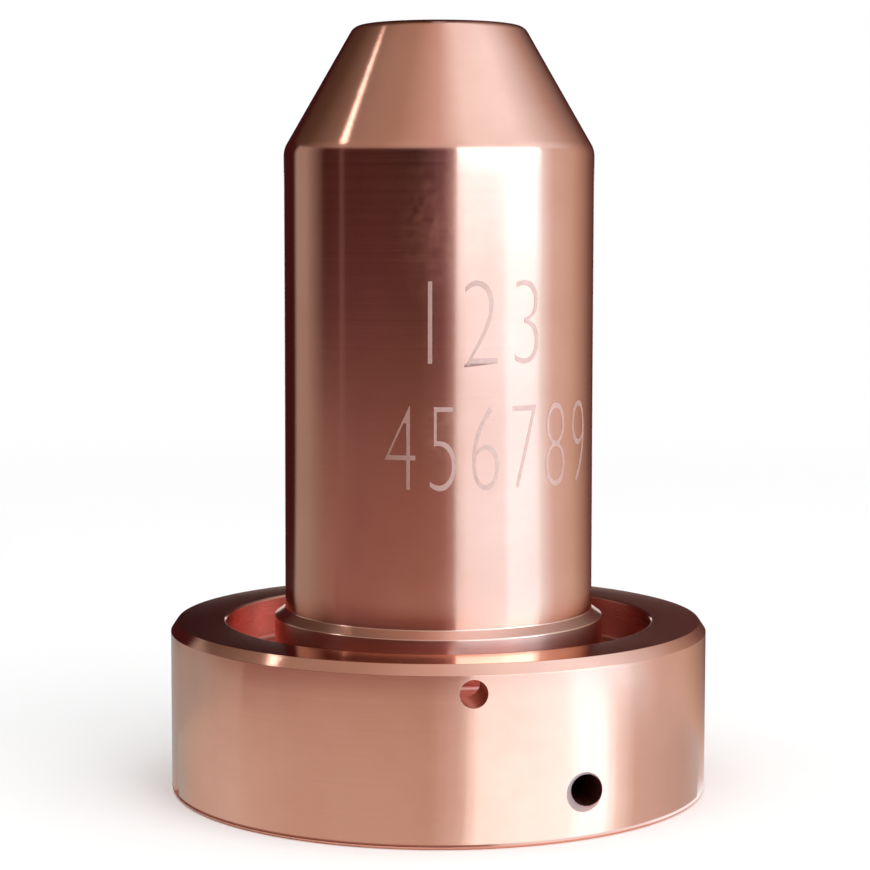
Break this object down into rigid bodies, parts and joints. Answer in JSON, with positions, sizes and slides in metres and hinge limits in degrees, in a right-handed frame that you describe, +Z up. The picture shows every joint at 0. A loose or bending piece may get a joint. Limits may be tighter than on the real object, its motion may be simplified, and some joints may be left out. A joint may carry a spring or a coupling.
{
  "type": "plasma torch nozzle",
  "caption": "Turned copper plasma cutting nozzle: straight barrel with a coned nose, on a round grooved flange with small cross-drilled gas holes, open at the back.",
  "frame": {"origin": "middle of the flange's back face, on the axis", "axes": "+Z up the axis and out through the orifice; -Y is the side that the picture shows"},
  "size_m": [0.018, 0.018, 0.0254],
  "materials": {
    "copper": "bright fine-turned copper"
  },
  "bodies": {
    "root": {"nozzle": "copper"}
  },
  "joints": []
}
